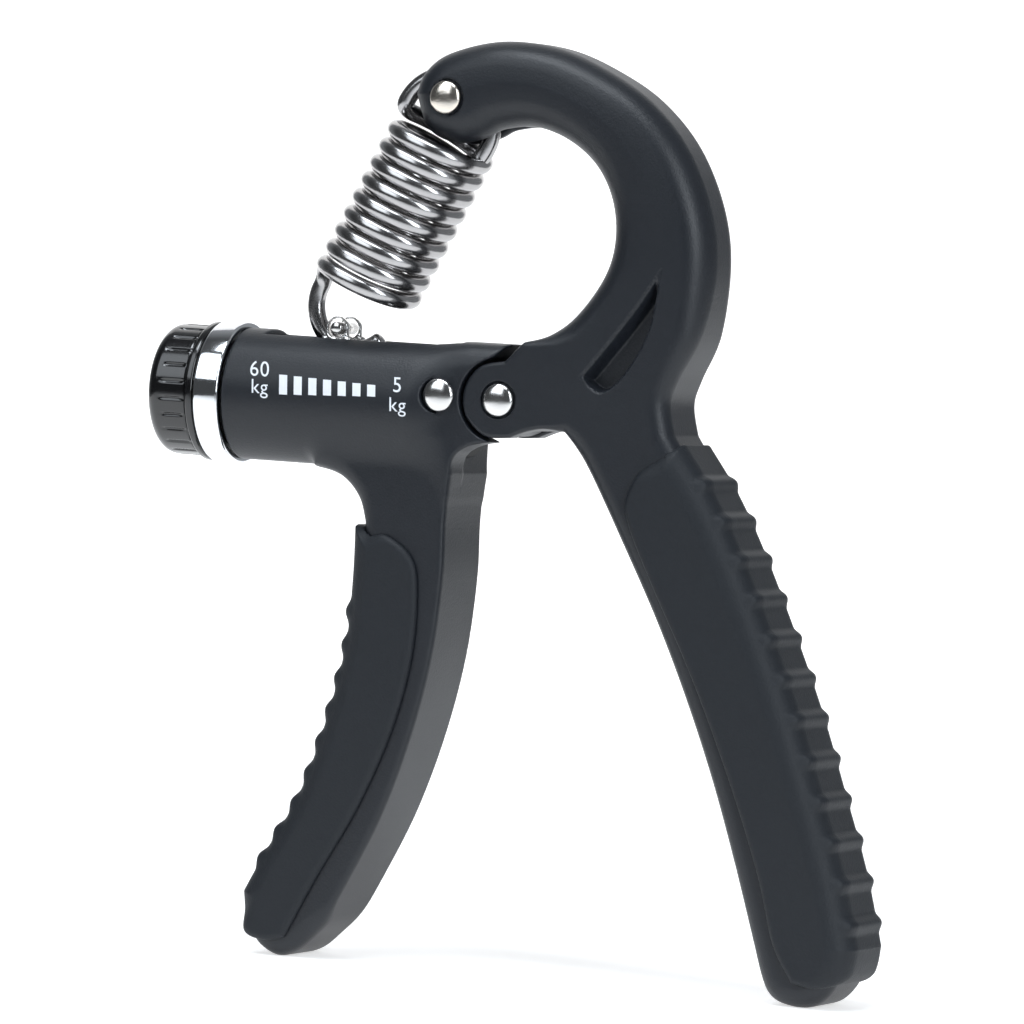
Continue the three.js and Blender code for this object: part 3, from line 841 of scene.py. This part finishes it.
def add_spring():
    """The spring in its own frame, which is across, behind and up its length, as two blended wires."""
    middle, across, behind, up, length = spring_axes()

    def place(a, b, c):
        return middle + across * a + behind * b + up * c

    def coil(turn):
        angle = turn * 2 * math.pi + math.pi
        height = (turn - COIL["turns"] / 2) * COIL["pitch"] + COIL["raise"]
        return np.array((COIL["radius"] * math.cos(angle), COIL["radius"] * math.sin(angle), height))

    def bend(start, leave, end, arrive, steps=14):
        """A smooth bend from one point and direction to another."""
        points = []
        for step in range(1, steps):
            t = step / steps
            points.append(
                start * (2 * t**3 - 3 * t**2 + 1)
                + leave * (t**3 - 2 * t**2 + t)
                + end * (3 * t**2 - 2 * t**3)
                + arrive * (t**3 - t**2)
            )
        return points

    def direction(turn):
        step = coil(turn + 0.001) - coil(turn - 0.001)
        return step / np.linalg.norm(step)

    def loop(spec, side, angle):
        """A point on an end loop that hangs on its pin; side is 1 for the top loop and -1 for the hook."""
        sag = math.sqrt((spec["radius"] - WIRE - PIN) ** 2 - spec["shift"] ** 2)
        reach = spec["radius"]
        height = side * (length / 2 - sag)
        return np.array((spec["shift"] + reach * math.cos(angle), 0, height + reach * math.sin(angle)))

    early = 0.07
    turns = COIL["turns"]
    high_left = loop(TOP_LOOP, 1, math.pi)
    low_left = loop(HOOK_LOOP, -1, math.pi)
    rise = np.array((0, 0, 1.0))

    body = [coil(early + (turns - 2 * early) * n / 640) for n in range(641)]
    body += bend(coil(turns - early), direction(turns - early) * 5, high_left, rise * 5)
    sweep = math.pi + 0.5
    body += [loop(TOP_LOOP, 1, math.pi - sweep * n / 89) for n in range(90)]
    coils = wire("spring_coils_look", [place(*p) for p in body])
    dress(coils, "spring_steel", None, ["spring_top_loop", "spring_upper_coils", "spring_lower_coils"])
    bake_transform(coils)

    hook = [coil(early + 0.004)]
    hook += bend(coil(early), -direction(early) * 5, low_left, -rise * 5)
    sweep = math.pi - 0.4
    hook += [loop(HOOK_LOOP, -1, math.pi + sweep * n / 89) for n in range(90)]
    hook = wire("spring_hook_look", [place(*p) for p in hook])
    dress(hook, "spring_steel", None, ["spring_bottom_hook"])
    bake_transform(hook)


# ---------------------------------------------------------------- print on the housing


def front_of(field, x, z):
    """How far forward the surface is at each (x, z)."""
    near, far = np.full(x.shape, -14.0), np.full(x.shape, -4.5)
    for _ in range(26):
        middle = (near + far) / 2
        outside = field(x, middle, z) > 0
        near, far = np.where(outside, middle, near), np.where(outside, far, middle)
    return (near + far) / 2


def wrap_print(piece):
    """Cuts a flat print finely and lays it on the housing, a hair in front of it.

    The curve of the tube would make the strokes lean over, so they are set back to stand upright.
    """
    work = bmesh.new()
    work.from_mesh(piece.data)
    low = [min(v.co[n] for v in work.verts) for n in (0, 2)]
    high = [max(v.co[n] for v in work.verts) for n in (0, 2)]
    for n, axis in ((0, Vector((1, 0, 0))), (1, Vector((0, 0, 1)))):
        for cut_at in np.arange(low[n] + 0.25, high[n], 0.4):
            everything = work.verts[:] + work.edges[:] + work.faces[:]
            bmesh.ops.bisect_plane(work, geom=everything, plane_co=axis * cut_at, plane_no=axis, dist=1e-5)
    work.to_mesh(piece.data)
    work.free()
    flat = np.zeros(len(piece.data.vertices) * 3)
    piece.data.vertices.foreach_get("co", flat)
    flat = flat.reshape(-1, 3)
    front = front_of(housing_outside, flat[:, 0], flat[:, 2]) - 0.03
    upright = flat[:, 0] + 0.3 - 0.42 * (front + TUBE["radius"]) - 0.06 * flat[:, 2]
    laid = in_row_frame(np.stack([upright, front, flat[:, 2]], 1))
    piece.data.vertices.foreach_set("co", laid.ravel())
    piece.data.update()
    dress(piece, "ink", "finger_side")


def add_scale_bars():
    """Seven printed bars, getting shorter towards the light end of the scale."""
    vertices, faces = [], []
    bars, first, pitch, width, middle = 7, -37.2, 2.63, 1.45, 0.2
    for bar in range(bars):
        x = first + bar * pitch
        half = (3.2 - (3.2 - 1.9) * bar / (bars - 1)) / 2
        low = len(vertices)
        for dx, dz in ((-1, -1), (1, -1), (1, 1), (-1, 1)):
            vertices.append((x + dx * width / 2, 0, middle + dz * half))
        faces.append([low, low + 1, low + 2, low + 3])
    mesh = bpy.data.meshes.new("scale_bars")
    mesh.from_pydata(vertices, [], faces)
    piece = bpy.data.objects.new("scale_bars", mesh)
    bpy.context.scene.collection.objects.link(piece)
    wrap_print(piece)


def add_label(name, text, x, z, size):
    """One line of lettering, centred at (x, z)."""
    curve = bpy.data.curves.new(name, "FONT")
    curve.body = text
    curve.size = size
    curve.align_x = "CENTER"
    curve.resolution_u = 6
    curve.space_character = 1.08
    letters = bpy.data.objects.new(f"{name}_curve", curve)
    bpy.context.scene.collection.objects.link(letters)
    bpy.context.view_layer.update()
    mesh = bpy.data.meshes.new_from_object(letters.evaluated_get(bpy.context.evaluated_depsgraph_get()))
    bpy.data.objects.remove(letters)
    mesh.transform(Matrix.Translation((x, 0, z)) @ Matrix.Rotation(math.pi / 2, 4, "X"))
    piece = bpy.data.objects.new(name, mesh)
    bpy.context.scene.collection.objects.link(piece)
    wrap_print(piece)


def add_print():
    add_scale_bars()
    add_label("label_heavy", "60", -41.5, 1.35, 3.5)
    add_label("label_heavy_unit", "kg", -41.5, -1.45, 3.3)
    add_label("label_light", "5", -16.8, 0.25, 3.5)
    add_label("label_light_unit", "kg", -16.8, -2.9, 3.3)


# ---------------------------------------------------------------- studio, in metres

VIEW_TURN = math.radians(23)  # how far the camera stands round to the right
CAMERA = {"lens": 261.2, "from_hinge": (0.4722, -1.1118, 0.024)}


def ramp(nodes, links, value, start, end, low, high):
    """A value that goes evenly from low to high as another goes from start to end."""
    spread = nodes.new("ShaderNodeMapRange")
    spread.inputs["From Min"].default_value = start
    spread.inputs["From Max"].default_value = end
    spread.inputs["To Min"].default_value = low
    spread.inputs["To Max"].default_value = high
    links.new(value, spread.inputs["Value"])
    return spread.outputs["Result"]


def painted_glow_backdrop_material():
    """Pale paper with painted light: it glows more the further back it lies, so that shadows cast on it
    wash out to white, and it darkens far in front of the object.
    """
    paper = shader("backdrop_painted_glow", "moulding", (0.8, 0.8, 0.8), 0.9)
    nodes, links = paper.node_tree.nodes, paper.node_tree.links
    place = nodes.new("ShaderNodeTexCoord")
    split = nodes.new("ShaderNodeSeparateXYZ")
    links.new(place.outputs["Object"], split.inputs["Vector"])
    # painted light: the paper glows, most of all behind the object, so that shadows cast on it wash out to
    # white
    painted_glow = nodes.new("ShaderNodeMath")
    painted_glow.operation = "ADD"
    links.new(ramp(nodes, links, split.outputs["Y"], -0.4, -0.1, 0, 0.6), painted_glow.inputs[0])
    links.new(ramp(nodes, links, split.outputs["Y"], 0.3, 1.2, 0, 0.4), painted_glow.inputs[1])
    principled = nodes["Principled BSDF"]
    shade = ramp(nodes, links, split.outputs["Y"], -0.62, -0.34, 0.2, 0.75)
    links.new(shade, principled.inputs["Base Color"])
    principled.inputs["Emission Color"].default_value = (1, 1, 1, 1)
    links.new(painted_glow.outputs["Value"], principled.inputs["Emission Strength"])
    return paper


def add_backdrop():
    """A pale floor that curves up far behind the object, square to the camera."""
    profile = [(-1.1, 0.62, 0.0), (0.5, 0.62, 0.0)]
    for step in range(17):
        angle = step / 16 * math.pi / 2
        profile.append((1.2 + 0.6 * math.sin(angle), 1.05, 0.6 - 0.6 * math.cos(angle)))
    profile.append((1.8, 1.05, 2.4))
    vertices, faces = [], []
    for y, half, z in profile:
        vertices += [(-half, y, z), (half, y, z)]
    for row in range(len(profile) - 1):
        faces.append((2 * row, 2 * row + 1, 2 * row + 3, 2 * row + 2))
    mesh = bpy.data.meshes.new("backdrop")
    mesh.from_pydata(vertices, [], faces)
    mesh.polygons.foreach_set("use_smooth", np.ones(len(mesh.polygons), bool))
    mesh.materials.append(painted_glow_backdrop_material())
    backdrop = bpy.data.objects.new("backdrop", mesh)
    backdrop.rotation_euler = (0, 0, VIEW_TURN)
    bpy.context.scene.collection.objects.link(backdrop)


def direction_to(turn, rise):
    """The direction from the object to a place that far round to the right of its front, and that high."""
    level = math.cos(rise)
    return Vector((math.sin(turn) * level, -math.cos(turn) * level, math.sin(rise)))


def add_softbox(name, turn, rise, distance, size, power):
    """A soft light aimed at the middle of the object, its turn and rise in degrees."""
    towards = direction_to(math.radians(turn), math.radians(rise))
    light = bpy.data.lights.new(name, "AREA")
    light.shape = "RECTANGLE"
    light.size, light.size_y = size
    light.energy = power
    light.color = (0.88, 0.94, 1)
    lamp = bpy.data.objects.new(name, light)
    lamp.location = Vector((0, 0, 0.08)) + towards * distance
    lamp.rotation_euler = towards.to_track_quat("Z", "Y").to_euler()
    bpy.context.scene.collection.objects.link(lamp)


def add_world():
    """A room that is dim in front of the object and paler at its sides and behind it."""
    world = bpy.data.worlds.new("studio")
    world.use_nodes = True
    nodes, links = world.node_tree.nodes, world.node_tree.links
    background = nodes["Background"]
    background.inputs["Color"].default_value = (0.9, 0.95, 1, 1)
    place = nodes.new("ShaderNodeTexCoord")
    frontness = nodes.new("ShaderNodeVectorMath")
    frontness.operation = "DOT_PRODUCT"
    frontness.inputs[1].default_value = (-0.17, -0.98, 0.32)
    links.new(place.outputs["Generated"], frontness.inputs[0])
    strength = ramp(nodes, links, frontness.outputs["Value"], -0.1, 0.3, 0.3, 0.06)
    links.new(strength, background.inputs["Strength"])
    bpy.context.scene.world = world


def add_lights():
    add_softbox("front_left_box", -24, 37, 1.3, (0.9, 0.9), 6)
    add_softbox("right_strip", 58, 22, 1.0, (0.2, 0.8), 5)
    add_softbox("top_box", -10, 74, 1.0, (0.8, 0.3), 7)


def add_camera():
    """The camera stands well back with a long lens, and is rolled a little."""
    roll = math.radians(3.4)
    towards = direction_to(VIEW_TURN, math.radians(2))
    right = Vector((math.cos(VIEW_TURN), math.sin(VIEW_TURN), 0))
    up = towards.cross(right)
    image_x = right * math.cos(roll) + up * math.sin(roll)
    image_y = up * math.cos(roll) - right * math.sin(roll)
    camera_data = bpy.data.cameras.new("camera")
    camera_data.sensor_width = 36
    camera_data.lens = CAMERA["lens"]
    camera_data.clip_start = 0.05
    camera = bpy.data.objects.new("camera", camera_data)
    turn = Matrix((image_x, image_y, towards)).transposed()
    place = HINGE + Vector(CAMERA["from_hinge"])
    camera.matrix_world = Matrix.Translation(place) @ turn.to_4x4()
    bpy.context.scene.collection.objects.link(camera)
    bpy.context.scene.camera = camera


add_mouldings()
add_rivets()
add_collar()
add_knob()
add_slider()
add_spring()
add_print()
dress_cad_nodes()
add_backdrop()
add_world()
add_lights()
add_camera()
bpy.context.scene.view_settings.view_transform = "Standard"
